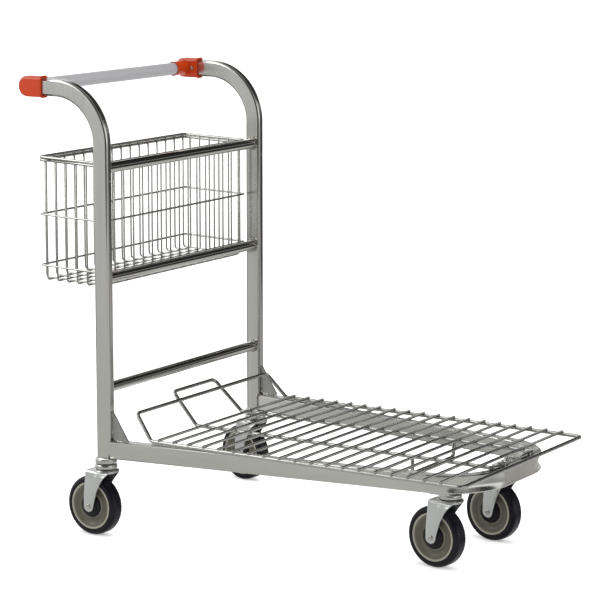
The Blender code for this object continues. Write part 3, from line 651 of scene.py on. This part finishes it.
def make_deck():
    """One closed rod runs round the deck and up into the wide loop. A second one runs from hinge
    journal to hinge journal through the narrow loop."""
    wide_low, wide_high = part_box("rear_loop_wide")
    narrow_low, narrow_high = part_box("rear_loop_narrow")
    front, half = high("deck_grid").x - ROD, wide_high.y - ROD
    wide_top = (wide_low.x + ROD, wide_high.z - ROD)
    narrow_top = (narrow_low.x + ROD, narrow_high.z - ROD)
    wide_base, narrow_base = wide_top[0] + WIDE_LEAN, narrow_top[0] + NARROW_LEAN
    outer = [
        (front, -half, ROD_Z),
        (front, half, ROD_Z),
        (wide_base, half, ROD_Z),
        (wide_top[0], WIDE_TOP_Y, wide_top[1]),
        (wide_top[0], -WIDE_TOP_Y, wide_top[1]),
        (wide_base, -half, ROD_Z),
    ]
    path = rounded_path(outer, ROD_BEND, 10, True)
    rim = wires("deck_rod_and_wide_loop", [path], ROD, 16, True)
    add(rim, "wire", "deck", "deck_grid", "rear_loop_wide")
    inner_y = narrow_high.y - ROD
    inner = [
        (HINGE.x, -JOURNAL_END_Y, ROD_Z),
        (HINGE.x, -inner_y, ROD_Z),
        (narrow_base, -inner_y, ROD_Z),
        (narrow_top[0], -NARROW_TOP_Y, narrow_top[1]),
        (narrow_top[0], NARROW_TOP_Y, narrow_top[1]),
        (narrow_base, inner_y, ROD_Z),
        (HINGE.x, inner_y, ROD_Z),
        (HINGE.x, JOURNAL_END_Y, ROD_Z),
    ]
    loop = wires("deck_inner_rods_and_narrow_loop", [rounded_path(inner, ROD_BEND, 10)], ROD, 16)
    add(loop, "wire", "deck", "rear_loop_narrow")
    hoop_low, hoop_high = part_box("under_deck_hoop")
    x, bottom = (hoop_low.x + hoop_high.x) / 2, hoop_low.z + ROD
    corners = [(-inner_y, ROD_Z), (-inner_y, bottom), (inner_y, bottom), (inner_y, ROD_Z)]
    path = rounded_path([(x, y, z) for y, z in corners], ROD_BEND, 10)
    add(wires("hoop_rod", [path], ROD, 16), "wire", "deck", "under_deck_hoop")
    make_deck_wires(half, inner_y)


def make_deck_wires(half, inner_y):
    first = low("deck_grid").x + 0.0103
    z = high("deck_grid").z - DECK_WIRE
    reach = high("deck_grid").y
    paths, spots = [], []
    for number in range(DECK_WIRE_COUNT):
        x = first + number * DECK_WIRE_PITCH
        shift = RANDOM.uniform(-0.0008, 0.0008)
        paths.append([(x, -reach + 0.0006 + shift, z), (x, reach - 0.0006 + shift, z)])
        spots += [(x, y, z - DECK_WIRE * 0.9) for y in (-half, -inner_y, inner_y, half)]
    add(wires("deck_wires", paths, DECK_WIRE), "wire", "deck")
    add(nuggets("deck_wire_welds", spots, (0.0052, 0.0034, 0.0016)), "weld", "deck")


def nuggets(name, spots, size):
    """Small flattened beads where wires are fused together, each a little different."""
    solid = bmesh.new()
    for spot in spots:
        turn = Matrix.Rotation(RANDOM.uniform(-0.25, 0.25), 4, "Z")
        scale = Matrix.Diagonal((*(side * RANDOM.uniform(0.85, 1.15) for side in size), 1))
        matrix = Matrix.Translation(spot) @ turn @ scale
        bmesh.ops.create_icosphere(solid, subdivisions=2, radius=1, matrix=matrix)
    mesh = bpy.data.meshes.new(name)
    solid.to_mesh(mesh)
    solid.free()
    mesh.shade_smooth()
    return new_object(name, mesh)


def make_hinge_staple(side):
    node = f"hinge_staple_{side}"
    corner_low, corner_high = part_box(node)
    radius = (corner_high.y - corner_low.y) / 2
    y, arch = middle(node).y, (corner_high.x - corner_low.x) / 2 - radius
    x = middle(node).x
    path = [(x + arch, y, corner_low.z - 0.0003)]
    path += [(px, y, pz) for px, pz in arc((x, ROD_Z), arch, 0, 180, 16)]
    path += [(x - arch, y, corner_low.z - 0.0003)]
    add(wires(f"{node}_rod", [path], radius), "wire", "frame", node)
    feet = [(x + sign * arch, y, corner_low.z + 0.0003) for sign in (-1, 1)]
    add(nuggets(f"{node}_welds", feet, (0.0036, 0.0046, 0.0014)), "weld", "frame")


# The basket


WIRE, RING, RIM = 0.0019, 0.0022, 0.0029
WIRE_BEND, RING_HEIGHTS = 0.0065, (0.552, 0.6585)
LONG_WIRES, END_WIRES = 16, 6
BASKET_REAR, BASKET_FRONT = middle("basket_rear_wall").x, middle("basket_front_wall").x
BASKET_DROP = high("basket_rear_wall").z - high("basket_front_wall").z


def leaning(place):
    """A place of the level basket moved to where it is: the front hangs lower than the rear."""
    x, y, z = place
    return Vector((x, y, z - BASKET_DROP * (x - BASKET_REAR) / (BASKET_FRONT - BASKET_REAR)))


def make_basket():
    """U-shaped wires both ways, inside two rings and a double rim."""
    front, rear = BASKET_FRONT, BASKET_REAR
    half = high("basket_front_wall").y
    top, rod_step = high("basket_rear_wall").z - 0.003, 0.0062
    floor = high("basket_base").z - 0.002
    inset = RIM + WIRE - 0.0004
    wire_front, wire_rear, wire_half = front - inset, rear + inset, half - inset
    tops, corner = top + 0.001, 0.016
    long_wires, end_wires = [], []
    for y in spread(corner - half, half - corner, LONG_WIRES):
        ends = ((wire_rear, tops), (wire_rear, floor), (wire_front, floor), (wire_front, tops))
        long_wires.append(bent_wire([(x, y, z) for x, z in ends]))
    made = wires("basket_long_wires", long_wires, WIRE, 10)
    add(made, "wire", "frame", "basket_front_wall", "basket_rear_wall")
    below = floor - 1.7 * WIRE
    for x in spread(rear + corner, front - corner, END_WIRES):
        ends = ((-wire_half, tops), (-wire_half, below), (wire_half, below), (wire_half, tops))
        end_wires.append(bent_wire([(x, y, z) for y, z in ends]))
    made = wires("basket_end_wires", end_wires, WIRE, 10)
    add(made, "wire", "frame", "basket_end_left", "basket_end_right", "basket_base")
    rings = [basket_ring(front, rear, half - RIM, z, 0.007) for z in RING_HEIGHTS]
    add(wires("basket_rings", rings, RING, 12, True), "wire", "frame")
    upper = basket_ring(front, rear, half - RIM, top, 0.008)
    add(wires("basket_rim_upper", [upper], RIM, 14, True), "wire", "frame")
    lower = basket_ring(front, rear, half - RIM, top - rod_step, 0.008)
    lower = opened(lower, rear + 0.032, -half)
    add(wires("basket_rim_lower", [lower], RIM, 14), "wire", "frame")
    make_basket_welds(front, half)


def bent_wire(corners):
    return [leaning(place) for place in rounded_path(corners, WIRE_BEND, 6)]


def basket_ring(front, rear, half, z, radius):
    corners = [(front, -half, z), (front, half, z), (rear, half, z), (rear, -half, z)]
    return [leaning(place) for place in rounded_path(corners, radius, 8, True)]


def opened(ring, x, side_y):
    """The ring cut open at x on the wall nearest to side_y, as where a rod's two ends meet."""
    count = len(ring)
    for index, point in enumerate(ring):
        after = ring[(index + 1) % count]
        on_wall = abs(point.y - side_y) < 0.01 and abs(after.y - side_y) < 0.01
        if on_wall and (point.x - x) * (after.x - x) < 0:
            start, end = (Vector((x + gap, point.y, point.z)) for gap in (0.0006, -0.0006))
            rest = [ring[(index + 1 + step) % count] for step in range(count)]
            return [start, *rest, end] if after.x > point.x else [end, *rest, start]
    return ring


def make_basket_welds(front, half):
    """Short fillets that join the basket to the two crossbars."""
    bar = middle("crossbar_top").x - 0.0105
    spots = []
    for y in spread(-half + 0.03, half - 0.03, 5):
        spots.append(((front + bar) / 2, y, high("crossbar_top").z - 0.010))
        spots.append(((front + bar) / 2, y, middle("crossbar_middle").z + 0.004))
    add(nuggets("basket_welds", spots, (0.0046, 0.0040, 0.0030)), "weld", "frame")


# The castors. Their pieces are modelled about the swivel axis on the floor, and moved into place.


AXLE, KING_PIN = joint_place("wheel_spin_rear_left"), joint_place("castor_swivel_rear_left")
WHEEL_RADIUS, WHEEL_WIDTH = AXLE.z, 0.032
TRAIL = (AXLE - KING_PIN).to_2d().length
FORK_GAP, FORK_SHEET, LEG_END = 0.0385, 0.003, 0.012
CROWN_Z, CROWN_RADIUS, CROWN_BEND = 0.1382, 0.0272, 0.0045
LEG_Y = (FORK_GAP + FORK_SHEET) / 2
CREASE = -0.0125  # where a leg's flat rear part meets its web


def smooth(low_edge, high_edge, value):
    share = min(max((value - low_edge) / (high_edge - low_edge), 0.0), 1.0)
    return share * share * (3 - 2 * share)


def make_fork_mesh():
    """A pressed sheet: it runs from one axle end up the leg, over the crown and down the other leg."""
    bottom, top_of_leg = WHEEL_RADIUS - LEG_END, CROWN_Z - CROWN_BEND
    leg_steps, bend_steps, crown_steps, across = 40, 8, 14, 40
    rise = top_of_leg - bottom
    leg = [(-LEG_Y, bottom + rise * (step / leg_steps)) for step in range(leg_steps + 1)]
    leg += arc((CROWN_BEND - LEG_Y, top_of_leg), CROWN_BEND, 180, 90, bend_steps)[1:]
    flat = LEG_Y - CROWN_BEND
    crown = [(y, CROWN_Z) for y in spread(-flat, flat, crown_steps + 1)[1:-1]]
    rows = leg + crown + [(-y, z) for y, z in reversed(leg)]
    vertices, faces = [], []
    for y, z in rows:
        rear, front = fork_edges(y, z)
        for column in range(across + 1):
            x = rear + (front - rear) * column / across
            vertices.append((x, leg_relief(x, y, z), z))
    size = across + 1
    for row in range(len(rows) - 1):
        for column in range(across):
            corner = row * size + column
            faces.append((corner, corner + 1, corner + size + 1, corner + size))
    fork = mesh_object("fork_sheet", vertices, faces)
    faces_outwards(fork.data)
    return fork


def fork_edges(y, z):
    """Where the sheet's rear and front edges are at this place along it."""
    rear = -TRAIL - LEG_END + 0.0045 * smooth(0.070, 0.135, z) ** 1.3
    if z < WHEEL_RADIUS:
        lift = WHEEL_RADIUS - z
        reach = max(math.sqrt(max(LEG_END**2 - lift**2, 0.0)), 0.0012)
        return -TRAIL - reach, -TRAIL + reach
    if z > CROWN_Z - CROWN_BEND:
        return rear, math.sqrt(max(CROWN_RADIUS**2 - y * y, 0.0)) - 0.0005
    return rear, fork_front(z)


def fork_front(z):
    """The front edge of a leg: a slope from the axle's round end, then a hollow curve to the crown."""
    start, end = -TRAIL + LEG_END, math.sqrt(CROWN_RADIUS**2 - LEG_Y**2) - 0.0005
    share = (z - WHEEL_RADIUS) / (CROWN_Z - CROWN_BEND - WHEEL_RADIUS)
    return start + (end - start) * (0.52 * share + 0.48 * share**3.2)


def leg_relief(x, y, z):
    """A leg's web stands proud at the crease and falls back to its front edge."""
    if abs(abs(y) - LEG_Y) > 1e-6:
        return y
    rise = 0.0016 * smooth(CREASE - 0.0040, CREASE, x)
    fall = 0.0036 * smooth(CREASE, CREASE + 0.022, x)
    fade = smooth(0.084, 0.100, z) * (1 - smooth(0.126, CROWN_Z - CROWN_BEND, z))
    return y + math.copysign((rise - fall) * fade, y)


def make_castor(corner, fork_mesh, rear):
    swivel, axle = joint_place(f"castor_swivel_{corner}"), joint_place(f"wheel_spin_{corner}")
    joint = next(joint for joint in frame["joints"] if joint["name"] == f"wheel_spin_{corner}")
    turn = Matrix.Rotation(math.atan2(-joint["axis"][0], joint["axis"][1]), 4, "Z")
    on_floor = Matrix.Translation((swivel.x, swivel.y, 0)) @ turn
    on_axle = Matrix.Translation(axle) @ turn
    turning, rolling = f"castor_{corner}", f"wheel_{corner}"
    fork = new_object(f"fork_{corner}", fork_mesh)
    sheet = fork.modifiers.new("sheet", "SOLIDIFY")
    sheet.thickness, sheet.offset = FORK_SHEET, 0
    soft_edges(fork, 0.0006, 2)
    fork.matrix_world = on_floor
    add(fork, "sheet", turning, f"castor_fork_{corner}")
    seat = lathe(f"race_seat_{corner}", seat_profile())
    seat.matrix_world = on_floor
    add(seat, "bright", turning)
    head = lathe(f"race_and_pin_{corner}", head_profile(rear, high(f"castor_head_{corner}").z))
    head.matrix_world = Matrix.Translation((swivel.x, swivel.y, 0))
    add(head, "bright", "frame", f"castor_head_{corner}")
    for piece, profile, look, replaced in (
        ("tyre", tyre_profile(), "tyre", f"tyre_{corner}"),
        ("wheel_disc", disc_profile(), "rim", f"wheel_rim_{corner}"),
        ("hub", hub_profile(), "cap", f"hub_bearing_{corner}"),
    ):
        made = lathe(f"{piece}_turned_{corner}", profile, "Y", 96)
        made.matrix_world = on_axle
        add(made, look, rolling, replaced)
    for end, sign, replaced in (("head", 1, "bolt"), ("tail", -1, "nut")):
        profile = [(radius, sign * distance) for radius, distance in axle_end_profile()]
        rivet = lathe(f"axle_{end}_{corner}", profile, "Y", 32)
        rivet.matrix_world = on_axle
        add(rivet, "weld", turning, f"axle_{replaced}_{corner}")


def axle_end_profile():
    """Half of the axle, with a riveted end that is hollow in its middle."""
    outer = FORK_GAP / 2 + FORK_SHEET
    profile = [(0, outer + 0.0006), (0.0016, outer + 0.0007), (0.0024, outer + 0.0021)]
    profile += [(0.0036, outer + 0.0024), (0.0048, outer + 0.0017), (0.0053, outer + 0.0004)]
    return [*profile, (0.0053, outer - 0.001), (0.0034, outer - 0.0015), (0.0034, 0), (0, 0)]


def seat_profile():
    """The fork's rolled crown and, inside it, the raised ring that holds the lower balls."""
    return [
        (0.0068, 0.1386),
        (0.0262, 0.1386),
        (0.0270, 0.1388),
        (0.0275, 0.1396),
        (0.0275, 0.1406),
        (0.0269, 0.1415),
        (0.0258, 0.1419),
        (0.0252, 0.1425),
        (0.0246, 0.1430),
        (0.0228, 0.1433),
        (0.0190, 0.1433),
        (0.0188, 0.1428),
        (0.0068, 0.1428),
    ]


def head_profile(rear, top):
    """King pin with its rivet head, then the race, the neck and the flange or the threaded end."""
    profile = [(0, 0.1304), (0.0060, 0.1306), (0.0084, 0.1318), (0.0090, 0.1340), (0.0090, 0.1352)]
    profile += [(0.006, 0.1352), (0.006, 0.1440), (0.0210, 0.1441), (0.0226, 0.1448), (0.0234, 0.1462)]
    profile += [(0.0236, 0.1490), (0.0235, 0.1518), (0.0228, 0.1536), (0.0210, 0.1546), (0.0150, 0.1548)]
    profile += [(0.0142, 0.1551), (0.0142, 0.1562), (0.0150, 0.1565), (0.0212, 0.1567), (0.0224, 0.1574)]
    if rear:
        profile += [(0.0228, 0.1596), (0.0228, 0.1640), (0.0224, 0.1654), (0.0216, 0.1661)]
        return [*profile, (0.0065, 0.1662), (0.0065, top - 0.002), (0, top)]
    plate_low, plate_high = low("castor_plate_left").z, high("castor_plate_left").z
    profile += [(0.0228, 0.1590), (0.0226, plate_low - 0.0004), (0.006, plate_low - 0.0003)]
    profile += [(0.006, plate_high + 0.0003), (0.0090, plate_high + 0.0003)]
    profile += [(0.0095, plate_high + 0.0012), (0.0090, plate_high + 0.0062)]
    profile += [(0.0060, plate_high + 0.0070)]
    return [*profile, (0.0060, top - 0.001), (0.0048, top), (0, top)]


def tyre_profile():
    half, seat, shoulder = WHEEL_WIDTH / 2, 0.0497, 0.009
    round_off = arc((half - shoulder, WHEEL_RADIUS - shoulder), shoulder, 0, 90, 12)
    near = [(seat, half - 0.0006), (seat + 0.0008, half), *((r, y) for y, r in round_off)]
    return near + [(r, -y) for r, y in reversed(near)]


def disc_profile():
    """The wheel's centre: a rolled edge, a dished face and a raised hub, the same on both sides."""
    half = WHEEL_WIDTH / 2
    face = [
        (0.0494, half - 0.0008),
        (0.0490, half - 0.0001),
        (0.0480, half + 0.0003),
        (0.0466, half + 0.0001),
        (0.0452, half - 0.0010),
        (0.0440, half - 0.0032),
        (0.0412, half - 0.0066),
        (0.0370, half - 0.0088),
        (0.0325, half - 0.0094),
        (0.0297, half - 0.0086),
        (0.0282, half - 0.0066),
        (0.0272, half - 0.0048),
        (0.0260, half - 0.0042),
        (0.0085, half - 0.0042),
    ]
    return face + [(r, -y) for r, y in reversed(face)]


def hub_profile():
    """Two stepped dust caps on a bush."""
    out = FORK_GAP / 2 - 0.0006
    face = [(0.0046, out), (0.0125, out), (0.0141, out - 0.0006), (0.0150, out - 0.0020)]
    face += [(0.0200, out - 0.0030), (0.0235, out - 0.0042), (0.0250, out - 0.0054)]
    face += [(0.0253, out - 0.0062), (0.0082, out - 0.0063)]
    return face + [(r, -y) for r, y in reversed(face)]


# The studio


def make_camera():
    """A long lens from in front and above, on the trolley's right."""
    upright = high("upright_left").x - CAD_HALF_DEPTH
    target = Vector((upright + 0.2968, 0, 0.4829))
    azimuth, elevation, distance = math.radians(32.384), math.radians(9.906), 5.259
    back = Vector(
        (
            math.sin(azimuth) * math.cos(elevation),
            -math.cos(azimuth) * math.cos(elevation),
            math.sin(elevation),
        )
    )
    data = bpy.data.cameras.new("camera")
    data.lens, data.sensor_width = 152.07, 36
    data.clip_end = 60
    camera = new_object("camera", data)
    camera.location = target + back * distance
    camera.rotation_euler = (-back).to_track_quat("-Z", "Y").to_euler()
    bpy.context.scene.camera = camera


def make_floor():
    """Pale paper, and two glowing cards on it that only shiny surfaces show."""
    floor = flat_sheet("floor", (-50, 50), (-50, 50), 0)
    made, tree, shader = node_material("floor_paper", roughness=1.0, specular_ior_level=0.0)
    paper = noise_node(tree, 3, 2)
    link(tree, ramp(tree, paper, [(0.3, 0.955), (0.7, 0.965)]), shader.inputs["Base Color"])
    shader.inputs["Emission Color"].default_value = (1, 1, 1, 1)
    shader.inputs["Emission Strength"].default_value = 0.34
    floor.data.materials.append(made)
    floor.visible_glossy = False
    glow_card("card_behind", (-0.3, 2.6), (0.25, 2.0), 4.6, (1.0, 0.96, 0.93), 0.50)
    glow_card("card_beside", (-1.3, 2.2), (-2.0, -0.02), 9.0, (1.0, 1.0, 0.97), 0.58)


def flat_sheet(name, reach, width, height):
    """A level rectangle between two x values and two y values."""
    (x0, x1), (y0, y1) = reach, width
    corners = [(x0, y0, height), (x1, y0, height), (x1, y1, height), (x0, y1, height)]
    return mesh_object(name, corners, [(0, 1, 2, 3)])


def glow_card(name, reach, width, fullness, colour, strength):
    """A glowing card that lies on the floor. Its edges fade, and less so the larger fullness is."""
    card = flat_sheet(name, reach, width, 0.001)
    made, tree, _ = node_material(name)
    place, split = tree.nodes.new("ShaderNodeTexCoord"), tree.nodes.new("ShaderNodeSeparateXYZ")
    link(tree, place.outputs["Generated"], split.inputs["Vector"])
    humps = []
    for side in ("X", "Y"):
        along = split.outputs[side]
        hump = math_node(tree, "MULTIPLY", along, math_node(tree, "SUBTRACT", 1.0, along))
        humps.append(math_node(tree, "MULTIPLY", hump, fullness))
    share = math_node(tree, "MINIMUM", math_node(tree, "MULTIPLY", *humps), 1.0)
    clear, glow = tree.nodes.new("ShaderNodeBsdfTransparent"), tree.nodes.new("ShaderNodeEmission")
    glow.inputs["Color"].default_value = (*colour, 1.0)
    glow.inputs["Strength"].default_value = strength
    mixed = tree.nodes.new("ShaderNodeMixShader")
    link(tree, share, mixed.inputs[0])
    link(tree, clear.outputs[0], mixed.inputs[1])
    link(tree, glow.outputs[0], mixed.inputs[2])
    link(tree, mixed.outputs[0], tree.nodes["Material Output"].inputs["Surface"])
    card.data.materials.append(made)
    card.visible_camera = card.visible_diffuse = card.visible_shadow = False


def area_light(name, place, aim, width, height, power, glossy):
    data = bpy.data.lights.new(name, "AREA")
    data.shape, data.size, data.size_y, data.energy = "RECTANGLE", width, height, power
    light = new_object(name, data)
    light.location = place
    light.rotation_euler = (Vector(aim) - Vector(place)).to_track_quat("-Z", "Y").to_euler()
    light.visible_glossy = glossy


# How bright the studio is, from straight below (0) over the horizon (0.5) to straight up (1)
STUDIO_HEIGHTS = [(0.0, 0.30), (0.28, 0.35), (0.38, 0.48), (0.44, 0.58), (0.50, 0.62)]
STUDIO_HEIGHTS += [(0.56, 0.80), (0.68, 0.75), (0.76, 0.28), (1.0, 0.22)]
# What stands round the studio, as shiny metal mirrors it. Each patch has two azimuths from +Y towards
# +X, how soft they are, two elevations, how soft they are, and a brightness. Angles are in degrees.
# A patch covers those above it in this list.
STUDIO_PATCHES = (
    (-48, 48, 8, -50, -22, 7, 0.74),
    (-105, -20, 10, -16, 38, 6, 0.92),
    (50, 112, 8, -4, 24, 5, 1.10),
    (50, 112, 8, -50, -4, 5, 0.40),
    (-159, -104, 5, 10, 60, 6, 1.15),
    (-128, -72, 7, 44, 62, 3, 1.80),
    (-125, -50, 8, -42, -19, 4, 0.10),
    (-200, -164, 5, 4, 70, 6, 0.05),
    (118, 200, 9, -45, 64, 8, 0.06),
    (12, 48, 4, -18, 8.5, 2, 0.04),
    (20, 46, 5, 8.5, 14.5, 1.5, 0.22),
    (-30, 100, 4, 24, 64, 3, 0.02),
    (-30, 42, 4, 14.5, 30, 2, 0.02),
)


def make_world():
    """White paper all round for the camera, and a studio for shiny metal to mirror."""
    world = bpy.data.worlds.new("studio")
    bpy.context.scene.world = world
    world.use_nodes = True
    tree = world.node_tree
    tree.nodes.clear()
    out = tree.nodes.new("ShaderNodeOutputWorld")
    place = tree.nodes.new("ShaderNodeTexCoord")
    split = tree.nodes.new("ShaderNodeSeparateXYZ")
    link(tree, place.outputs["Generated"], split.inputs["Vector"])
    azimuth = math_node(tree, "ARCTAN2", split.outputs["X"], split.outputs["Y"])
    elevation = math_node(tree, "ARCSINE", split.outputs["Z"])
    height = math_node(tree, "MULTIPLY_ADD", elevation, 1 / math.pi, 0.5)
    brightness = ramp(tree, height, STUDIO_HEIGHTS)
    for left, right, side_soft, bottom, top, soft, value in STUDIO_PATCHES:
        beside = band(tree, azimuth, left, right, side_soft)
        share = math_node(tree, "MULTIPLY", beside, band(tree, elevation, bottom, top, soft))
        mix = tree.nodes.new("ShaderNodeMix")
        mix.inputs["B"].default_value = value
        link(tree, share, mix.inputs["Factor"])
        link(tree, brightness, mix.inputs["A"])
        brightness = mix.outputs["Result"]
    studio, paper = tree.nodes.new("ShaderNodeBackground"), tree.nodes.new("ShaderNodeBackground")
    link(tree, brightness, studio.inputs["Color"])
    paper.inputs["Color"].default_value = (1, 1, 1, 1)
    paper.inputs["Strength"].default_value = 1.06
    path = tree.nodes.new("ShaderNodeLightPath")
    chosen = tree.nodes.new("ShaderNodeMixShader")
    link(tree, path.outputs["Is Glossy Ray"], chosen.inputs[0])
    link(tree, paper.outputs[0], chosen.inputs[1])
    link(tree, studio.outputs[0], chosen.inputs[2])
    link(tree, chosen.outputs[0], out.inputs["Surface"])


def band(tree, source, start, end, soft):
    """1 between two angles and 0 outside them."""
    edges = []
    for middle_of_edge, sizes in ((start, (0, 1)), (end, (1, 0))):
        edge = tree.nodes.new("ShaderNodeMapRange")
        edge.interpolation_type = "SMOOTHSTEP"
        edge.inputs["From Min"].default_value = math.radians(middle_of_edge - soft)
        edge.inputs["From Max"].default_value = math.radians(middle_of_edge + soft)
        edge.inputs["To Min"].default_value, edge.inputs["To Max"].default_value = sizes
        link(tree, source, edge.inputs["Value"])
        edges.append(edge.outputs["Result"])
    return math_node(tree, "MULTIPLY", *edges)


def make_studio():
    make_camera()
    make_floor()
    make_world()
    area_light("ceiling_box", (0.2, 0.3, 3.2), (0, 0, 0.3), 2.6, 2.2, 42, False)
    area_light("left_box", (-2.4, -2.2, 1.9), (0, 0, 0.4), 1.4, 1.8, 22, True)
    scene = bpy.context.scene
    scene.view_settings.view_transform = "Standard"
    scene.view_settings.look = "None"


def main():
    make_studio()
    for side in SIDES:
        make_upright(side)
        make_handle_fitting(side)
        make_fitting_screw(side)
        make_gusset(side)
        make_castor_plate(side)
        make_hinge_staple(side)
    for level in ("top", "middle", "lower"):
        make_crossbar(level)
    make_handle_bar()
    make_chassis()
    make_deck()
    make_basket()
    fork = make_fork_mesh()
    for corner in ("rear_left", "rear_right", "front_left", "front_right"):
        make_castor(corner, fork.data, corner.startswith("rear"))
    bpy.data.objects.remove(fork, do_unlink=True)


main()
